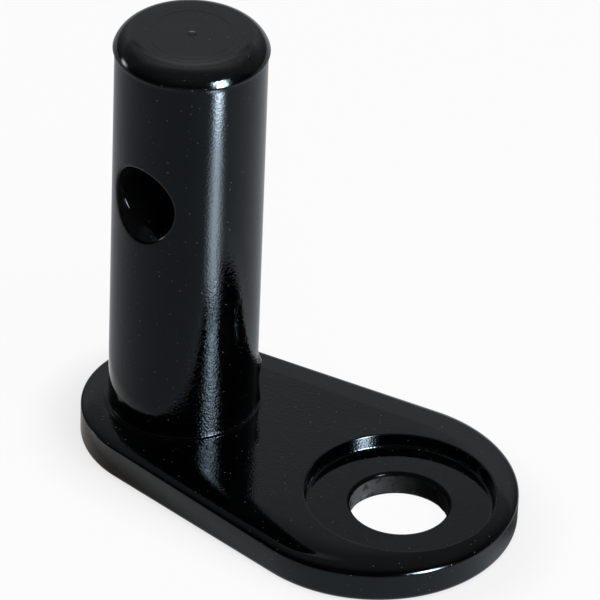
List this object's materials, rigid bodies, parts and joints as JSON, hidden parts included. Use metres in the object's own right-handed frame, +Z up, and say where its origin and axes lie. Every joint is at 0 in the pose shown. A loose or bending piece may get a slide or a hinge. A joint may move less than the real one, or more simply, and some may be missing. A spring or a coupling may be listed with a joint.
{
  "type": "bike trailer hitch",
  "caption": "Black steel hitch plate with a recessed axle hole and an upright cross-drilled pin, clamped by a bicycle's rear axle nut so that a trailer's arm can couple to the pin.",
  "frame": {"origin": "centre of the axle hole on the plate's underside, the face that seats on the bicycle", "axes": "+Z up along the pin and out of the washer recess, +X along the plate away from the pin, +Y across the plate"},
  "size_m": [0.0511, 0.031, 0.0507],
  "materials": {
    "plate_paint": "gloss black paint with fine orange peel",
    "pin_paint": "gloss black paint with fine orange peel",
    "weld_paint": "black paint over a ground weld"
  },
  "bodies": {
    "root": {"base_plate": "plate_paint", "hitch_pin": "pin_paint", "weld_seam": "weld_paint"}
  },
  "joints": []
}
